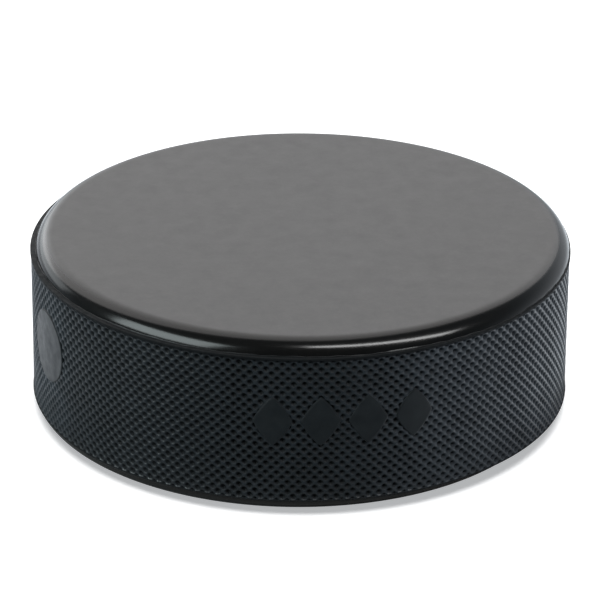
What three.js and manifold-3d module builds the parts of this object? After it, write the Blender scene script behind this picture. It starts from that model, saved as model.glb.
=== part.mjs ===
// An ice hockey puck: one rubber moulding, split where its three-part mould leaves a line on it.
// Millimetres, +Z up. The origin is the centre of the bottom face, and -Y is the front of the side.
import * as THREE from 'three';
import { mergeVertices } from 'three/addons/utils/BufferGeometryUtils.js';
import Module from 'manifold-3d';

// Driving dimensions
const DIAMETER = 76.2; // three inches, the regulation size
const THICKNESS = 25.4; // one inch, the regulation size
const SHOULDER_RADIUS = 2.65; // the rounding from each face towards its parting line
const SHOULDER_HEIGHT = 2.05; // less than the radius, so a shoulder meets its parting line leaning in
// Each mould plate sat a little off the ring's centre: inset is how far its cap's edge would
// stand inside the body's edge without that shift, and x and y are the shift.
const UPPER_CAP = { inset: 0.43, x: 0.3, y: 0.12 };
const LOWER_CAP = { inset: 0.72, x: -0.55, y: -0.28 };
const FLASH_WIDTH = 0.1; // the bead of rubber squeezed out along a parting line
const FLASH_HEIGHT = 0.2;
const RIM_HEIGHT = 0.35; // the smooth margin above and below the knurl
const KNURL_DEPTH = 0.3; // from the smooth margin to the middle of the knurl's relief
const LOZENGE = { width: 5.9, height: 7.8, rounding: 0.16 }; // rounding is a share of each edge
const LOZENGE_COUNT = 4;
const LOZENGE_PITCH = 6.5; // round the side, from one lozenge's middle to the next
const LOZENGE_ROW_AZIMUTH = 9.3; // degrees from the front towards +X, to the middle of the row
const DISC_RADIUS = 5.2;
const DISC_AZIMUTH = -67;
const PAD_MIDDLE_HEIGHT = 14;
const PAD_STOCK_REACH = 6; // above and below its middle, the band that a pad is cut from
const ROUND_STEPS = 96; // flats round the puck
const SHOULDER_STEPS = 6;
const CURVE_STEPS = 10; // along each curve of a pad's outline
const PAD_CLEARANCE = 0.02; // between a pad's back and the body

// Derived dimensions
const RADIUS = DIAMETER / 2;
const LOWER_PARTING = SHOULDER_HEIGHT;
const UPPER_PARTING = THICKNESS - SHOULDER_HEIGHT;
const KNURL_RADIUS = RADIUS - KNURL_DEPTH;

const wasm = await Module();
wasm.setup();

const faceRubber = new THREE.MeshStandardMaterial({ color: 0x3a393a, roughness: 0.55, metalness: 0 });
const knurlRubber = new THREE.MeshStandardMaterial({ color: 0x17191c, roughness: 0.65, metalness: 0 });
const flashRubber = new THREE.MeshStandardMaterial({ color: 0x2a2b2c, roughness: 0.4, metalness: 0 });
const padRubber = new THREE.MeshStandardMaterial({ color: 0x202225, roughness: 0.5, metalness: 0 });

// Turns a profile of [radius, height] points round the Z axis.
function turned(profile) {
  const points = profile.map(([radius, height]) => new THREE.Vector2(radius, height));
  return new THREE.LatheGeometry(points, ROUND_STEPS).rotateX(Math.PI / 2);
}

function solidOf(geometry) {
  const bare = geometry.clone().deleteAttribute('normal').deleteAttribute('uv');
  const merged = mergeVertices(bare, 1e-5);
  const vertProperties = new Float32Array(merged.attributes.position.array);
  const triVerts = new Uint32Array(merged.index.array);
  return new wasm.Manifold(new wasm.Mesh({ numProp: 3, vertProperties, triVerts }));
}

function geometryOf(solid) {
  const { vertProperties, triVerts } = solid.getMesh();
  const geometry = new THREE.BufferGeometry();
  geometry.setAttribute('position', new THREE.BufferAttribute(vertProperties, 3));
  geometry.setIndex(new THREE.BufferAttribute(triVerts, 1));
  geometry.computeVertexNormals();
  return geometry;
}

// The disc between the parting lines: smooth margins stand proud of the knurled band between them.
function knurledBody() {
  const lowerRim = LOWER_PARTING + RIM_HEIGHT;
  const upperRim = UPPER_PARTING - RIM_HEIGHT;
  return turned([
    [0, LOWER_PARTING],
    [RADIUS, LOWER_PARTING],
    [RADIUS, lowerRim],
    [KNURL_RADIUS, lowerRim + KNURL_DEPTH],
    [KNURL_RADIUS, upperRim - KNURL_DEPTH],
    [RADIUS, upperRim],
    [RADIUS, UPPER_PARTING],
    [0, UPPER_PARTING],
  ]);
}

// The rounded profile of a shoulder, from its foot on the parting plane up to the face.
function shoulder(footRadius) {
  const footAngle = Math.asin(1 - SHOULDER_HEIGHT / SHOULDER_RADIUS);
  const centreRadius = footRadius - SHOULDER_RADIUS * Math.cos(footAngle);
  const centreHeight = SHOULDER_HEIGHT - SHOULDER_RADIUS;
  const arc = [];
  for (let step = 0; step <= SHOULDER_STEPS; step += 1) {
    const angle = footAngle + (step / SHOULDER_STEPS) * (Math.PI / 2 - footAngle);
    const radius = centreRadius + SHOULDER_RADIUS * Math.cos(angle);
    arc.push([radius, centreHeight + SHOULDER_RADIUS * Math.sin(angle)]);
  }
  return arc;
}

// A face with its rounded shoulder, face up, standing on its parting plane.
function cap({ inset }) {
  return turned([[0, 0], ...shoulder(RADIUS - inset), [0, SHOULDER_HEIGHT]]);
}

// The bead at the foot of a shoulder, standing on the parting plane.
function flash({ inset }) {
  const foot = RADIUS - inset;
  return turned([[foot, 0], [foot + FLASH_WIDTH, 0], [foot, FLASH_HEIGHT], [foot, 0]]);
}

// A lozenge with its four corners rounded off.
function lozengeOutline({ width, height, rounding }) {
  const corners = [[width / 2, 0], [0, height / 2], [-width / 2, 0], [0, -height / 2]];
  const points = corners.map(([x, y]) => new THREE.Vector2(x, y));
  const outline = new THREE.Shape();
  points.forEach((corner, index) => {
    const before = corner.clone().lerp(points[(index + 3) % 4], rounding);
    const after = corner.clone().lerp(points[(index + 1) % 4], rounding);
    if (index === 0) outline.moveTo(before.x, before.y);
    else outline.lineTo(before.x, before.y);
    outline.quadraticCurveTo(corner.x, corner.y, after.x, after.y);
  });
  outline.closePath();
  return outline;
}

function discOutline() {
  return new THREE.Shape().absarc(0, 0, DISC_RADIUS, 0, Math.PI * 2);
}

// A plain raised pad with the given outline, curved to the side and flush with the smooth margins.
function sidePad(outline, azimuthDegrees) {
  const back = KNURL_RADIUS + PAD_CLEARANCE;
  const low = PAD_MIDDLE_HEIGHT - PAD_STOCK_REACH;
  const high = PAD_MIDDLE_HEIGHT + PAD_STOCK_REACH;
  const band = turned([[back, low], [RADIUS, low], [RADIUS, high], [back, high], [back, low]]);
  const cutterShape = { depth: DIAMETER, bevelEnabled: false, curveSegments: CURVE_STEPS };
  const cutter = new THREE.ExtrudeGeometry(outline, cutterShape);
  cutter.rotateX(Math.PI / 2);
  cutter.translate(0, 0, PAD_MIDDLE_HEIGHT);
  cutter.rotateZ(THREE.MathUtils.degToRad(azimuthDegrees));
  return geometryOf(solidOf(band).intersect(solidOf(cutter)));
}

const group = new THREE.Group();

function add(name, geometry, material) {
  const mesh = new THREE.Mesh(geometry, material);
  mesh.name = name;
  group.add(mesh);
  return mesh;
}

// Stands a cap or a bead on the upper parting plane, off centre by the plate's shift.
function onUpperPlane(mesh) {
  mesh.position.set(UPPER_CAP.x, UPPER_CAP.y, UPPER_PARTING);
}

// Hangs a cap or a bead under the lower parting plane, upside down.
function underLowerPlane(mesh) {
  mesh.position.set(LOWER_CAP.x, LOWER_CAP.y, LOWER_PARTING);
  mesh.rotation.x = Math.PI;
}

add('knurled_body', knurledBody(), knurlRubber);
onUpperPlane(add('upper_cap', cap(UPPER_CAP), faceRubber));
underLowerPlane(add('lower_cap', cap(LOWER_CAP), faceRubber));
onUpperPlane(add('upper_flash', flash(UPPER_CAP), flashRubber));
underLowerPlane(add('lower_flash', flash(LOWER_CAP), flashRubber));

for (let place = 0; place < LOZENGE_COUNT; place += 1) {
  const along = (place - (LOZENGE_COUNT - 1) / 2) * LOZENGE_PITCH;
  const azimuth = LOZENGE_ROW_AZIMUTH + THREE.MathUtils.radToDeg(along / RADIUS);
  const pad = sidePad(lozengeOutline(LOZENGE), azimuth);
  add(`side_lozenge_${place + 1}`, pad, padRubber);
}
add('side_disc', sidePad(discOutline(), DISC_AZIMUTH), padRubber);

export default group;
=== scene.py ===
"""The looks of the hockey puck: a finely knurled rubber moulding under soft studio light.

Every piece is a closed mesh made of rings of points, built over the CAD node that it replaces.
Lengths are in metres, +Z is up and -Y is the front of the side. Azimuths are in radians from
the front towards +X, unless a name says degrees.
"""

import math

import bpy
import numpy as np
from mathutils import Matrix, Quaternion, Vector


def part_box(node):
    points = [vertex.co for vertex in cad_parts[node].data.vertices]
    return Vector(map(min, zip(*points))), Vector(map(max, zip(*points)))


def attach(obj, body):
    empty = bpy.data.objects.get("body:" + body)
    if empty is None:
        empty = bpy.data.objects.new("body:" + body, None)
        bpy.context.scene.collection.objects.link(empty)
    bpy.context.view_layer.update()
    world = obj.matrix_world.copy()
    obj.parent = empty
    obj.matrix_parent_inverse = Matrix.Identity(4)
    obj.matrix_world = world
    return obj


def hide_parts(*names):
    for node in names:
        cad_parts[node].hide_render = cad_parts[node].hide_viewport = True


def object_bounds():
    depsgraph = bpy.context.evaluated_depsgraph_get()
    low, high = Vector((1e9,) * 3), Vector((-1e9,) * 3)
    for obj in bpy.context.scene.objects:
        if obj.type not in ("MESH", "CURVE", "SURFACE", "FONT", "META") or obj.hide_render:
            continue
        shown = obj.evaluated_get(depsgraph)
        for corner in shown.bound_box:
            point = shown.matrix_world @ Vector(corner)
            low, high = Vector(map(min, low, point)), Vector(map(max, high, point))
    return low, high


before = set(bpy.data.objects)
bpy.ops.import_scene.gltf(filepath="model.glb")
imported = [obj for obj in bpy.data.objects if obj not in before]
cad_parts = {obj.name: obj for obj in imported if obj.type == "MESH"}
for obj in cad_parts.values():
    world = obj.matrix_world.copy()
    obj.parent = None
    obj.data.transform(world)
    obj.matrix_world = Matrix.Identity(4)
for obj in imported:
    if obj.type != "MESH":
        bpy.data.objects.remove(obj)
CAD_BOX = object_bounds()

MM = 0.001
RADIUS = (CAD_BOX[1].x - CAD_BOX[0].x) / 2
THICKNESS = CAD_BOX[1].z - CAD_BOX[0].z

# The knurl: staggered rows of pits, so that the ridges between them make a diamond net.
PITS_ROUND = 162
PIT_ROWS = 15
KNURL_LOW = 2.03 * MM  # where the rows of pits start and end
KNURL_HIGH = 23.03 * MM
ROW_END = 0.1  # how much of a pitch stays plain at each end of the rows
CELL_STEPS = 6  # mesh steps along one pitch, both ways
PIT_DEPTH = 0.44 * MM
PIT_OPENING = 0.47  # half the width of a pit's mouth and floor, as a share of a ridge's spacing
PIT_FLOOR = 0.09
CROSS_RIDGE_HEIGHT = 0.85  # the ridges that rise to the right are lower than those that fall
CREST_BELOW_MARGIN = 0.1 * MM
MARGIN_SLOPE = 0.2 * MM  # how far the step from a margin down to the crests reaches
MARGIN_EDGE = 0.05 * MM  # the rounding of the body's outer edges

# How a pit's depth varies: in waves round the puck, at random, and between which limits.
DEPTH_WAVES = (3, 7, 11, 23)
DEPTH_WAVE_SHARE = 0.12
DEPTH_RANDOM_SHARE = 0.08
DEPTH_LIMITS = (0.6, 1.3)

# The caps.
SHOULDER_RADIUS = 2.65 * MM  # more than the caps' height, so they lean in at the parting lines
SHOULDER_STEPS = 18
CAP_SEGMENTS = 360
FACE_RINGS = (0.99, 0.9, 0.7, 0.4, 0.1)  # as shares of the flat face's radius

# The flash. Its width and its height vary as shares of the CAD bead's: the middle, the swing
# either way, the least, and the waves round the puck. The section is in widths and heights.
FLASH_SEGMENTS = 900
FLASH_WIDTH = (0.6, 0.25, 0.2, (5, 13, 29, 61))
FLASH_HEIGHT = (0.5, 0.3, 0.12, (4, 11, 37, 83))
FLASH_SECTION = ((-0.5, 0.0), (0.8, 0.0), (1.0, 0.25), (0.7, 0.8), (0.2, 1.0), (-0.5, 0.9))

# Stretches of the side: middle and reach in degrees of azimuth, and how strong the effect is.
# The first: where the flash is torn and its bead is full, and where its colour is painted paler as a
# highlight.
TORN_LIT_FLASH = ((-36, 14, 0.45), (21, 4, 1.0))
# The second: where the knurl's colour is painted paler, painted light on the left and right of the
# side.
LIT_FLANKS = ((88, 82, 1.4), (-86, 34, 0.9))
STRETCH_FADE = 0.4  # the share of its reach over which a stretch fades out

# The raised pads.
PAD_TOP_BELOW_MARGIN = 0.02 * MM
PAD_EDGE = 0.16 * MM
PAD_SEGMENTS = 96
LOZENGES = 4
LOZENGE_ASPECT = 5.4 / 7.2
LOZENGE_POWER = 1.22  # 1 is a sharp lozenge and 2 an ellipse
DISC_ASPECT = 1.0
DISC_POWER = 2.0

# Mesh rings that hold a shape without being one of its sizes.
ROUNDING_MIDDLE = 0.3  # how far in the middle of a small rounding lies, as a share of its size
BODY_END_RING = 0.9  # the hidden flat ends' inner rings, as shares of the radius
CAP_END_RING = 0.97
PAD_TOP_RINGS = (0.5, 0.9)  # how far in from a pad's outline, as shares of its half width

# The materials.
NOISE_SPAN = (0.3, 0.7)  # where most of a noise's values lie

# The camera, from the puck's middle.
CAMERA_ELEVATION = math.radians(24.9)
CAMERA_DISTANCE = 0.548
CAMERA_LENS_MM = 230.9
CAMERA_CLIP = (0.01, 20)
SENSOR_WIDTH_MM = 36.0
CAMERA_ROLL = math.radians(0.43)
AIM_ABOVE_MIDDLE = 1.55 * MM

# The room is lit along one axis, as by a bright floor behind the puck and to its right: its
# colour goes by how far a direction points along that axis. Above the floor's level it is dimmer.
ROOM_AXIS = Vector((0.28, 1.0, -0.8)).normalized()
ROOM_LIGHT = ((-1.0, (0.02, 0.025, 0.03)),
              (-0.45, (0.08, 0.105, 0.12)),
              (-0.05, (0.12, 0.15, 0.17)),
              (0.15, (0.28, 0.33, 0.37)),
              (0.32, (0.60, 0.67, 0.73)),
              (0.48, (0.97, 1.05, 1.13)),
              (0.62, (1.25, 1.33, 1.42)),
              (0.9, (1.4, 1.5, 1.6)))
ROOM_ABOVE_FLOOR = 0.5  # how bright the room is above the floor's level, against below it
ROOM_DIMS_BETWEEN = (-0.3, -0.05)  # heights of a unit direction

# The softboxes' colours.
WARM_WHITE = (1.0, 0.968, 0.955)
COOL_WHITE = (0.93, 0.98, 1.0)
COLD_WHITE = (0.88, 0.99, 1.0)

# The floor, and the shaded part of it close round the puck.
FLOOR_REACH = 6.0
FLOOR_HEIGHT = -0.05 * MM
FLOOR_GREY = 0.86
FLOOR_GLOW = 0.34
FLOOR_LIGHT = 4.2
FLOOR_LIGHT_SPREAD = 55  # the floor lamp's width in degrees, which softens the contact shadow
CONTACT_SHADE_REACH = 6 * MM
CONTACT_SHADE_HEIGHT = -0.03 * MM
CONTACT_SHADE_GREY = 0.3
CONTACT_SHADE_SEGMENTS = 96
SHEET_ROUGHNESS = 0.9

rng = np.random.default_rng(11)


# ---- mesh code -------------------------------------------------------------------------------

def on_side(azimuth, radius, height, centre=(0.0, 0.0)):
    """Points at an azimuth and a radius about a vertical axis through centre."""
    azimuth, radius, height = np.broadcast_arrays(azimuth, radius, height)
    x = centre[0] + radius * np.sin(azimuth)
    y = centre[1] - radius * np.cos(azimuth)
    return np.stack([x, y, height], axis=-1)


def azimuths(count):
    """Equal steps once round, from the front."""
    return np.linspace(0, 2 * math.pi, count, endpoint=False)


def ripple(azimuth, waves):
    """Smooth noise round a circle, about -1 to 1, from a few waves of the given counts."""
    total = np.zeros_like(azimuth)
    for wave in waves:
        total += np.sin(wave * azimuth + rng.uniform(0, 2 * math.pi))
    return total / math.sqrt(len(waves))


def smooth_step(value):
    """From 0 to 1 as value goes from 0 to 1, level at both ends."""
    value = np.clip(value, 0, 1)
    return value * value * (3 - 2 * value)


def share_of(stretches, azimuth):
    """How strongly each azimuth lies in the stretches of (middle, reach, amount), in degrees."""
    share = np.zeros_like(azimuth)
    for middle, reach, amount in stretches:
        from_middle = np.abs((np.degrees(azimuth) - middle + 180) % 360 - 180)
        share += amount * smooth_step((reach - from_middle) / (STRETCH_FADE * reach))
    return share


def mesh_object(name, points, faces, sharp_degrees):
    """A smooth-shaded object, with edges sharper than sharp_degrees left sharp."""
    mesh = bpy.data.meshes.new(name)
    mesh.from_pydata(points.tolist(), [], faces)
    mesh.validate()
    mesh.shade_smooth()
    mesh.set_sharp_from_angle(angle=math.radians(sharp_degrees))
    piece = bpy.data.objects.new(name, mesh)
    bpy.context.scene.collection.objects.link(piece)
    return piece


def closed_body(name, rings, falling=None, sharp_degrees=40):
    """A closed body from rings of points, each ring anticlockwise as the last one faces.

    The first and last rings are closed by a fan round their middles, which are the last two
    points. Where falling is given, each quad is split in two along the diagonal that it chooses.
    """
    ring_count, size, _ = rings.shape
    points = np.concatenate([rings.reshape(-1, 3), rings[:1].mean(1), rings[-1:].mean(1)])
    first_middle = len(points) - 2
    last_middle = len(points) - 1
    here = np.arange(size)
    after = (here + 1) % size
    faces = []
    for ring in range(ring_count - 1):
        low_left, low_right = ring * size + here, ring * size + after
        high_left, high_right = low_left + size, low_right + size
        if falling is None:
            faces += np.stack([low_left, low_right, high_right, high_left], 1).tolist()
            continue
        falls = falling[ring][:, None]
        lower_half = np.where(falls, np.stack([low_left, low_right, high_left], 1),
                              np.stack([low_left, low_right, high_right], 1))
        upper_half = np.where(falls, np.stack([low_right, high_right, high_left], 1),
                              np.stack([low_left, high_right, high_left], 1))
        faces += lower_half.tolist() + upper_half.tolist()
    last = (ring_count - 1) * size
    faces += [[first_middle, int(right), int(left)] for left, right in zip(here, after)]
    faces += [[last_middle, int(last + left), int(last + right)] for left, right in zip(here, after)]
    return mesh_object(name, points, faces, sharp_degrees)


def closed_loop(name, rings, sharp_degrees=60):
    """A closed bead: rings of points that also close on each other, like a torus."""
    ring_count, size, _ = rings.shape
    here = np.arange(size)
    after = (here + 1) % size
    faces = []
    for ring in range(ring_count):
        low, high = ring * size, (ring + 1) % ring_count * size
        faces += np.stack([low + here, low + after, high + after, high + here], 1).tolist()
    return mesh_object(name, rings.reshape(-1, 3), faces, sharp_degrees)


def set_attribute(piece, name, values):
    """Gives each vertex a number that its material can read."""
    layer = piece.data.attributes.new(name, "FLOAT", "POINT")
    layer.data.foreach_set("value", np.asarray(values, dtype=np.float32))


def stand_for(piece, node, material):
    """The piece takes a CAD node's place, rides on the puck and takes its finish."""
    piece.data.materials.append(material)
    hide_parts(node)
    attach(piece, "root")


# ---- nodes and materials ---------------------------------------------------------------------

class Nodes:
    """A node tree, with short calls for the nodes used here."""

    def __init__(self, tree):
        self.tree = tree

    def node(self, kind, **settings):
        made = self.tree.nodes.new(kind)
        for key, value in settings.items():
            setattr(made, key, value)
        return made

    def join(self, output, socket):
        self.tree.links.new(output, socket)

    def ranged(self, value, span, to_span):
        """The value, moved from one span of (low, high) to another."""
        made = self.node("ShaderNodeMapRange")
        for socket, number in zip(("From Min", "From Max", "To Min", "To Max"), (*span, *to_span)):
            made.inputs[socket].default_value = number
        self.join(value, made.inputs["Value"])
        return made.outputs["Result"]

    def height_of(self, direction):
        """The Z part of a direction."""
        split = self.node("ShaderNodeSeparateXYZ")
        self.join(direction, split.inputs["Vector"])
        return split.outputs["Z"]

    def product(self, one, other):
        """Two numbers multiplied."""
        made = self.node("ShaderNodeMath", operation="MULTIPLY")
        self.join(one, made.inputs[0])
        self.join(other, made.inputs[1])
        return made.outputs["Value"]

    def ramp(self, value, *stops):
        """A colour ramp over value, with stops of (position, colour)."""
        made = self.node("ShaderNodeValToRGB")
        elements = made.color_ramp.elements
        while len(elements) < len(stops):
            elements.new(0.5)
        for element, (position, colour) in zip(elements, stops):
            element.position = position
            element.color = (*colour, 1)
        self.join(value, made.inputs["Fac"])
        return made.outputs["Color"]


class Shader(Nodes):
    """A new material's node tree, with its Principled BSDF as surface."""

    def __init__(self, name):
        self.material = bpy.data.materials.new(name)
        self.material.use_nodes = True
        super().__init__(self.material.node_tree)
        self.surface = self.tree.nodes["Principled BSDF"]
        self.place = self.node("ShaderNodeTexCoord").outputs["Object"]

    def noise(self, size, detail, roughness=0.5):
        """Noise whose features are about size metres across."""
        made = self.node("ShaderNodeTexNoise")
        made.inputs["Scale"].default_value = 1 / size
        made.inputs["Detail"].default_value = detail
        made.inputs["Roughness"].default_value = roughness
        self.join(self.place, made.inputs["Vector"])
        return made.outputs["Fac"]

    def attribute(self, name):
        """A number that set_attribute gave to each vertex."""
        return self.node("ShaderNodeAttribute", attribute_name=name).outputs["Fac"]

    def facing_up(self):
        """How far the surface faces straight up or down, from 0 to 1."""
        made = self.node("ShaderNodeMath", operation="ABSOLUTE")
        self.join(self.height_of(self.node("ShaderNodeTexCoord").outputs["Normal"]), made.inputs[0])
        return made.outputs["Value"]

    def mix(self, kind, amount, one, other):
        """Two colours blended in the way that kind names, by an amount that is an output or 1."""
        made = self.node("ShaderNodeMix", data_type="RGBA", blend_type=kind)
        if amount == 1:
            made.inputs["Factor"].default_value = 1
        else:
            self.join(amount, made.inputs["Factor"])
        self.join(one, made.inputs["A"])
        self.join(other, made.inputs["B"])
        return made.outputs["Result"]

    def multiply(self, one, other):
        """Two colours multiplied."""
        return self.mix("MULTIPLY", 1, one, other)

    def bump(self, height, depth, before=None):
        """Relief of depth metres, laid over an earlier bump if one is given."""
        made = self.node("ShaderNodeBump")
        made.inputs["Strength"].default_value = 1
        made.inputs["Distance"].default_value = depth
        self.join(height, made.inputs["Height"])
        if before:
            self.join(before, made.inputs["Normal"])
        return made.outputs["Normal"]

    def finish(self, colour, roughness, normal):
        """Joins the outputs to the surface and gives back the material."""
        self.join(colour, self.surface.inputs["Base Color"])
        self.join(roughness, self.surface.inputs["Roughness"])
        self.join(normal, self.surface.inputs["Normal"])
        return self.material


def grey(level):
    """A colour of three equal parts."""
    return (level, level, level)


def face_rubber():
    """Black rubber: satin on the flat and glossy on the shoulder; its colour is paler on the flat,
    painted light over a dusty mottle, and darker on the shoulder, painted shade.
    """
    shader = Shader("face_rubber")
    upright = shader.facing_up()
    shoulder = shader.ramp(shader.noise(7 * MM, detail=4), (0.3, (0.0050, 0.0048, 0.0047)),
                           (0.7, (0.0064, 0.0061, 0.0059)))
    dusty_lit_flat = shader.ramp(shader.noise(3 * MM, detail=6, roughness=0.65),
                        (0.35, (0.016, 0.0146, 0.0142)), (0.65, (0.024, 0.0220, 0.0213)))
    # Painted light and shade: the colour goes by which way the surface faces, paler on the upward flat
    # and darker on the shoulder.
    colour = shader.mix("MIX", shader.ranged(upright, (0.94, 1.0), (0.0, 1.0)), shoulder, dusty_lit_flat)
    dust = shader.ramp(shader.noise(0.45 * MM, detail=2), (0.45, grey(1)), (0.75, (1.3, 1.28, 1.26)))
    satin = shader.ranged(upright, (0.85, 1.0), (0.18, 0.42))
    uneven = shader.ranged(shader.noise(2.5 * MM, detail=5, roughness=0.6), NOISE_SPAN, (0.945, 1.055))
    roughness = shader.product(satin, uneven)
    grain = shader.bump(shader.noise(0.25 * MM, detail=3), depth=0.002 * MM)
    normal = shader.bump(shader.noise(5 * MM, detail=2), depth=0.006 * MM, before=grain)
    return shader.finish(shader.multiply(colour, dust), roughness, normal)


def knurl_rubber():
    """Deep blue-black rubber: dull in the pits and glossier on the ridges, with painted shade
    darkening the pits and painted light paling the left and right of the side.
    """
    shader = Shader("knurl_rubber")
    relief = shader.attribute("relief")
    # Painted shade: the colour darkens down into the pits and is lighter on the ridges.
    pit_shade = shader.ramp(relief, (0.0, (0.0040, 0.0052, 0.0062)), (0.6, (0.0065, 0.0085, 0.0105)),
                         (1.0, (0.013, 0.0175, 0.022)))
    # Painted light: a paler colour, laid on the left and right of the side through a vertex attribute
    # and made uneven by noise.
    flank_light = shader.ramp(relief, (0.0, (0.018, 0.022, 0.027)), (1.0, (0.042, 0.050, 0.060)))
    spotty = shader.ranged(shader.noise(1.5 * MM, detail=4), NOISE_SPAN, (0.6, 1.0))
    pit_shade_and_flank_light = shader.mix("MIX", shader.product(shader.attribute("lit_flank"), spotty), pit_shade, flank_light)
    patches = shader.ramp(shader.noise(3 * MM, detail=4), (0.3, grey(0.75)), (0.7, grey(1.2)))

    polish = shader.ranged(relief, (0.6, 1.0), (0.72, 0.34))
    uneven = shader.ranged(shader.noise(0.8 * MM, detail=4), NOISE_SPAN, (0.85, 1.15))
    roughness = shader.product(polish, uneven)
    gloss = shader.ranged(relief, (0.7, 1.0), (0.25, 0.8))
    shader.join(gloss, shader.surface.inputs["Specular IOR Level"])
    normal = shader.bump(shader.noise(0.2 * MM, detail=3), depth=0.010 * MM)
    return shader.finish(shader.multiply(pit_shade_and_flank_light, patches), roughness, normal)


def flash_rubber():
    """Dark rubber that is glossier where the flash is torn, and painted paler there as a highlight."""
    shader = Shader("flash_rubber")
    torn_and_lit = shader.attribute("torn_and_lit")
    # Painted highlight: the colour is paler where the flash is torn.
    colour = shader.ramp(torn_and_lit, (0.0, (0.006, 0.007, 0.008)), (0.5, (0.02, 0.022, 0.024)),
                         (1.0, grey(0.09)))
    uneven = shader.ranged(shader.noise(0.5 * MM, detail=2), NOISE_SPAN, (0.85, 1.15))
    roughness = shader.product(shader.ranged(torn_and_lit, (0.0, 1.0), (0.55, 0.25)), uneven)
    normal = shader.bump(shader.noise(0.15 * MM, detail=2), depth=0.008 * MM)
    return shader.finish(colour, roughness, normal)


def pad_rubber():
    """Smooth satin rubber with slight pulls in the surface."""
    shader = Shader("pad_rubber")
    colour = shader.ramp(shader.noise(2 * MM, detail=4), (0.3, (0.006, 0.008, 0.0095)),
                         (0.7, (0.011, 0.014, 0.016)))
    roughness = shader.ranged(shader.noise(1.2 * MM, detail=3), NOISE_SPAN, (0.42, 0.55))
    normal = shader.bump(shader.noise(0.5 * MM, detail=3), depth=0.012 * MM)
    return shader.finish(colour, roughness, normal)


# ---- the puck's pieces -----------------------------------------------------------------------

def wall(place):
    """From 1 on a pit's floor to 0 on the ridges, by the place between two ridges."""
    from_middle = np.abs(place - np.round(place))
    return smooth_step((PIT_OPENING - from_middle) / (PIT_OPENING - PIT_FLOOR))


def pits(azimuth, rows):
    """How deep each point of the knurl lies, as a share of PIT_DEPTH, and which rows are knurled."""
    along = np.arange(len(azimuth)) / CELL_STEPS
    up = np.arange(rows)[:, None] / CELL_STEPS
    falling_place, rising_place = along + up, along - up
    pit = wall(falling_place) * (1 - CROSS_RIDGE_HEIGHT + CROSS_RIDGE_HEIGHT * wall(rising_place))
    in_row = (up > ROW_END) & (up < PIT_ROWS - ROW_END)
    uneven = 1 + DEPTH_WAVE_SHARE * ripple(azimuth, DEPTH_WAVES)
    uneven = uneven + DEPTH_RANDOM_SHARE * rng.standard_normal(pit.shape)
    return pit * in_row * np.clip(uneven, *DEPTH_LIMITS), in_row


def knurled_band(material):
    """The body between the parting lines, with real pits all round its side."""
    low, high = (corner.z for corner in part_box("knurled_body"))
    columns = PITS_ROUND * CELL_STEPS
    rows = PIT_ROWS * CELL_STEPS + 1
    azimuth = azimuths(columns)
    pit, in_row = pits(azimuth, rows)

    heights = np.linspace(KNURL_LOW, KNURL_HIGH, rows)[:, None]
    to_margin = np.minimum(heights - heights[0], heights[-1] - heights)
    crest = RADIUS - CREST_BELOW_MARGIN * smooth_step(to_margin / MARGIN_SLOPE)
    side = on_side(azimuth, crest - PIT_DEPTH * pit, heights)
    inside = (heights[:, 0] > low + 2 * MARGIN_EDGE) & (heights[:, 0] < high - 2 * MARGIN_EDGE)
    side, pit, in_row = side[inside], pit[inside], in_row[inside]

    corner = ROUNDING_MIDDLE * MARGIN_EDGE
    end = ((RADIUS * BODY_END_RING, 0), (RADIUS - MARGIN_EDGE, 0), (RADIUS - corner, corner),
           (RADIUS, MARGIN_EDGE))
    lower = [on_side(azimuth, radius, low + inward) for radius, inward in end]
    upper = [on_side(azimuth, radius, high - inward) for radius, inward in reversed(end)]
    rings = np.concatenate([lower, side, upper])

    half = CELL_STEPS // 2
    first_row = int(np.argmax(inside))
    ring_place = (np.arange(len(rings) - 1) - len(lower) + first_row) % CELL_STEPS
    column_place = np.arange(columns) % CELL_STEPS
    falling = (ring_place[:, None] < half) == (column_place[None, :] < half)
    piece = closed_body("knurl_band", rings, falling, sharp_degrees=75)

    on_knurl = slice(len(lower), len(lower) + len(side))
    knurled = np.zeros((len(rings), columns))
    knurled[on_knurl] = in_row
    relief = knurled.copy()
    relief[on_knurl] *= 1 - pit
    end_middles = 2
    set_attribute(piece, "relief", np.append(relief, np.ones(end_middles)))
    # How much painted light pales the knurl's colour, left and right of the side.
    lit_flank = knurled * share_of(LIT_FLANKS, azimuth)
    set_attribute(piece, "lit_flank", np.append(lit_flank, np.zeros(end_middles)))
    stand_for(piece, "knurled_body", material)


def place_of_cap(node):
    """A cap's middle, its radius, and the heights of its parting plane and its face."""
    low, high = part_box(node)
    middle = ((low.x + high.x) / 2, (low.y + high.y) / 2)
    radius = (high.x - low.x) / 2
    if node.startswith("upper"):
        return middle, radius, low.z, high.z
    return middle, radius, high.z, low.z


def face_cap(name, node, material):
    """A flat face that rolls over into a rounded shoulder, down to the parting plane."""
    middle, radius, parting, face = place_of_cap(node)
    azimuth = azimuths(CAP_SEGMENTS)
    outward = math.copysign(1, face - parting)
    foot = math.asin(1 - abs(face - parting) / SHOULDER_RADIUS)
    angles = np.linspace(foot, math.pi / 2, SHOULDER_STEPS + 1)[:, None]
    flat_radius = radius - SHOULDER_RADIUS * math.cos(foot)
    profile_radius = flat_radius + SHOULDER_RADIUS * np.cos(angles)
    profile_height = face - outward * SHOULDER_RADIUS * (1 - np.sin(angles))
    under = [on_side(azimuth, radius * CAP_END_RING, parting, middle)]
    arc = on_side(azimuth, profile_radius, profile_height, middle)
    flat = [on_side(azimuth, flat_radius * share, face, middle) for share in FACE_RINGS]
    rings = np.concatenate([under, arc, flat])
    if outward < 0:
        rings = rings[::-1]
    stand_for(closed_body(name, rings), node, material)


def wavy_share(azimuth, middle, swing, least, waves):
    """A share of the whole that varies round the puck."""
    return np.clip(middle + swing * ripple(azimuth, waves), least, 1)


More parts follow.
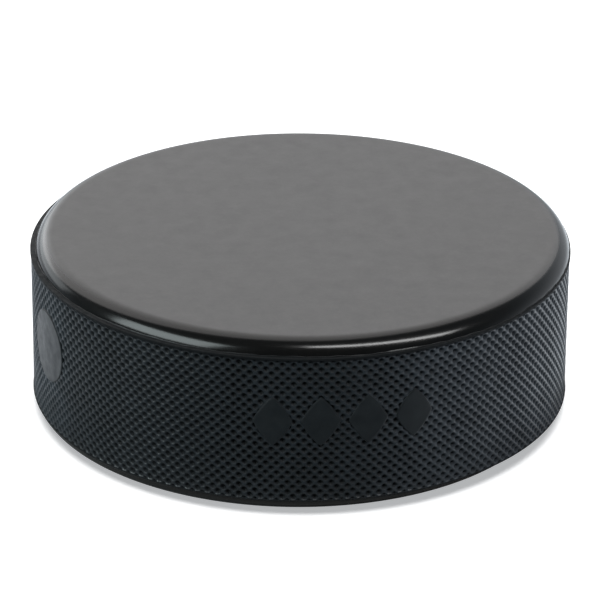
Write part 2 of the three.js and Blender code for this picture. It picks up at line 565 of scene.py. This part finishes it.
def flash_bead(name, node, cap_node, material):
    """A thin wavy bead of squeezed-out rubber along the foot of a shoulder, full where torn; the same
    share, passed to the material, paints a highlight on it.
    """
    middle, radius, parting, face = place_of_cap(cap_node)
    low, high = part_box(node)
    reach = (high.x - low.x) / 2 - radius
    rise = math.copysign(high.z - low.z, face - parting)
    azimuth = azimuths(FLASH_SEGMENTS)
    width = reach * wavy_share(azimuth, *FLASH_WIDTH)
    height = rise * wavy_share(azimuth, *FLASH_HEIGHT)
    torn_and_lit = share_of(TORN_LIT_FLASH, azimuth)
    width += (reach - width) * torn_and_lit
    height += (rise - height) * torn_and_lit
    rings = np.stack([on_side(azimuth, radius + across * width, parting + along * height, middle)
                      for across, along in FLASH_SECTION])
    if rise < 0:
        rings = rings[::-1]
    piece = closed_loop(name, rings)
    set_attribute(piece, "torn_and_lit", np.tile(torn_and_lit, len(FLASH_SECTION)))
    stand_for(piece, node, material)


def side_pad(name, node, aspect, power, material):
    """A plain raised pad that follows the side: its outline is |x/a|^power + |y/b|^power = 1."""
    low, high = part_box(node)
    middle = (low + high) / 2
    azimuth = math.atan2(middle.x, -middle.y)
    half_height = (high.z - low.z) / 2
    half_width = half_height * aspect
    turn = azimuths(PAD_SEGMENTS)
    across = np.sign(np.cos(turn)) * np.abs(np.cos(turn)) ** (2 / power)
    upward = np.sign(np.sin(turn)) * np.abs(np.sin(turn)) ** (2 / power)
    top = RADIUS - PAD_TOP_BELOW_MARGIN
    root = RADIUS - CREST_BELOW_MARGIN - PIT_DEPTH
    corner = ROUNDING_MIDDLE * PAD_EDGE
    profile = [(0, root), (0, top - PAD_EDGE), (corner, top - corner), (PAD_EDGE, top),
               (2 * PAD_EDGE, top)]
    profile += [(half_width * share, top) for share in PAD_TOP_RINGS]
    rings = []
    for inset, radius in profile:
        wide, tall = half_width - inset, half_height * (1 - inset / half_width)
        rings.append(on_side(azimuth + across * wide / RADIUS, radius, middle.z + upward * tall))
    stand_for(closed_body(name, np.stack(rings)), node, material)


# ---- the studio ------------------------------------------------------------------------------

def aimed(data, place, target, turn):
    """An object that holds a camera or a lamp, faces a target and is turned about its own axis."""
    made = bpy.data.objects.new(data.name, data)
    made.location = place
    made.rotation_mode = "QUATERNION"
    made.rotation_quaternion = (target - place).to_track_quat("-Z", "Y") @ Quaternion((0, 0, 1), turn)
    bpy.context.scene.collection.objects.link(made)
    return made


def camera():
    """A long lens from far off, aimed a little above the puck's middle."""
    middle = Vector((0, 0, THICKNESS / 2))
    back = Vector((0, -math.cos(CAMERA_ELEVATION), math.sin(CAMERA_ELEVATION)))
    upward = Vector((0, math.sin(CAMERA_ELEVATION), math.cos(CAMERA_ELEVATION)))
    data = bpy.data.cameras.new("camera")
    data.sensor_width = SENSOR_WIDTH_MM
    data.lens = CAMERA_LENS_MM
    data.clip_start, data.clip_end = CAMERA_CLIP
    target = middle + upward * AIM_ABOVE_MIDDLE
    bpy.context.scene.camera = aimed(data, middle + back * CAMERA_DISTANCE, target, CAMERA_ROLL)


def towards(azimuth_degrees, elevation_degrees):
    """A unit vector at an azimuth from the front and an elevation."""
    azimuth, elevation = math.radians(azimuth_degrees), math.radians(elevation_degrees)
    return Vector((math.sin(azimuth) * math.cos(elevation),
                   -math.cos(azimuth) * math.cos(elevation),
                   math.sin(elevation)))


def lamp(name, kind, place, power, colour=(1, 1, 1), turn_degrees=0.0):
    """A lamp that faces the middle of the puck's foot."""
    data = bpy.data.lights.new(name, kind)
    data.energy = power
    data.color = colour
    return aimed(data, place, Vector((0, 0, 0)), math.radians(turn_degrees))


def softbox(name, place, size, power, receivers, shape="RECTANGLE", **lamp_settings):
    """A wide lamp of a width and a height, which lights only its receivers."""
    made = lamp(name, "AREA", place, power, **lamp_settings)
    made.data.shape = shape
    made.data.size, made.data.size_y = size
    made.light_linking.receiver_collection = receivers


def flat_sheet(name, outline, height, level):
    """A flat matt grey sheet at a height, part of the studio and not of the puck."""
    mesh = bpy.data.meshes.new(name)
    mesh.from_pydata([(x, y, height) for x, y in outline], [], [range(len(outline))])
    material = bpy.data.materials.new(name)
    material.use_nodes = True
    surface = material.node_tree.nodes["Principled BSDF"]
    surface.inputs["Base Color"].default_value = (*grey(level), 1)
    surface.inputs["Roughness"].default_value = SHEET_ROUGHNESS
    surface.inputs["Specular IOR Level"].default_value = 0.0
    mesh.materials.append(material)
    sheet = bpy.data.objects.new(name, mesh)
    bpy.context.scene.collection.objects.link(sheet)
    return sheet, surface


def floor():
    """A wide white floor just under the puck, lit from straight above by a lamp of its own.

    It throws no light back: the puck's sides see past it, to the lower half of the room. The
    collection that comes back lets the softboxes light everything but the floor.
    """
    reach = FLOOR_REACH
    corners = ((-reach, -reach), (reach, -reach), (reach, reach), (-reach, reach))
    sheet, surface = flat_sheet("floor", corners, FLOOR_HEIGHT, FLOOR_GREY)
    sheet.visible_glossy = False
    sheet.visible_diffuse = False
    surface.inputs["Emission Color"].default_value = (1, 1, 1, 1)
    surface.inputs["Emission Strength"].default_value = FLOOR_GLOW

    floor_only = bpy.data.collections.new("floor_only")
    floor_only.objects.link(sheet)
    above = lamp("floor_lamp", "SUN", Vector((0, 0, 1)), FLOOR_LIGHT)
    above.data.angle = math.radians(FLOOR_LIGHT_SPREAD)
    above.light_linking.receiver_collection = floor_only

    all_but_floor = bpy.data.collections.new("all_but_floor")
    all_but_floor.objects.link(sheet)
    all_but_floor.collection_objects[0].light_linking.link_state = "EXCLUDE"
    return all_but_floor


def contact_shade():
    """The shaded floor close round the puck, which only the puck's own reflections see."""
    reach = RADIUS + CONTACT_SHADE_REACH
    outline = [(reach * math.sin(azimuth), reach * math.cos(azimuth))
               for azimuth in azimuths(CONTACT_SHADE_SEGMENTS)[::-1]]
    shade, _ = flat_sheet("contact_shade", outline, CONTACT_SHADE_HEIGHT, CONTACT_SHADE_GREY)
    shade.visible_camera = False
    shade.visible_shadow = False


def surroundings():
    """A room lit along ROOM_AXIS, dimmer above the floor's level; the camera itself sees white."""
    world = bpy.data.worlds.new("room")
    world.use_nodes = True
    nodes = Nodes(world.node_tree)
    direction = nodes.node("ShaderNodeTexCoord").outputs["Generated"]

    along = nodes.node("ShaderNodeVectorMath", operation="DOT_PRODUCT")
    along.inputs[1].default_value = ROOM_AXIS
    nodes.join(direction, along.inputs[0])
    place = nodes.ranged(along.outputs["Value"], (-1, 1), (0, 1))
    light = nodes.ramp(place, *(((along_axis + 1) / 2, colour) for along_axis, colour in ROOM_LIGHT))

    dimming = nodes.ranged(nodes.height_of(direction), ROOM_DIMS_BETWEEN, (1.0, ROOM_ABOVE_FLOOR))
    dimmed = nodes.node("ShaderNodeVectorMath", operation="SCALE")
    nodes.join(light, dimmed.inputs[0])
    nodes.join(dimming, dimmed.inputs["Scale"])

    seen = nodes.node("ShaderNodeMix", data_type="RGBA")
    nodes.join(nodes.node("ShaderNodeLightPath").outputs["Is Camera Ray"], seen.inputs["Factor"])
    nodes.join(dimmed.outputs["Vector"], seen.inputs["A"])
    seen.inputs["B"].default_value = (1, 1, 1, 1)
    background = world.node_tree.nodes["Background"]
    nodes.join(seen.outputs["Result"], background.inputs["Color"])
    background.inputs["Strength"].default_value = 1.0
    bpy.context.scene.world = world


def studio():
    """The room, the floor and the softboxes that make the sheens of the face and its shoulder."""
    surroundings()
    puck = floor()
    contact_shade()
    softbox("back_softbox", towards(-166, 45), size=(1.7, 1.5), power=8.4, receivers=puck,
            colour=WARM_WHITE, shape="ELLIPSE")
    softbox("left_backdrop", towards(-140, 12), size=(0.9, 0.35), power=1.3, receivers=puck,
            colour=COOL_WHITE)
    softbox("left_softbox", towards(-60, 26) * 0.9, size=(0.72, 0.48), power=5.2, receivers=puck,
            colour=COLD_WHITE)
    softbox("right_strip", Vector((0.42, -0.41, 0.72)), size=(0.86, 0.17), power=4.7, receivers=puck,
            turn_degrees=-38)
    bpy.context.scene.view_settings.view_transform = "Standard"


camera()
studio()

face = face_rubber()
knurl = knurl_rubber()
flash = flash_rubber()
pad = pad_rubber()
knurled_band(knurl)
face_cap("top_face", "upper_cap", face)
face_cap("bottom_face", "lower_cap", face)
flash_bead("upper_flash_bead", "upper_flash", "upper_cap", flash)
flash_bead("lower_flash_bead", "lower_flash", "lower_cap", flash)
for number in range(1, LOZENGES + 1):
    side_pad(f"lozenge_pad_{number}", f"side_lozenge_{number}", LOZENGE_ASPECT, LOZENGE_POWER, pad)
side_pad("disc_pad", "side_disc", DISC_ASPECT, DISC_POWER, pad)
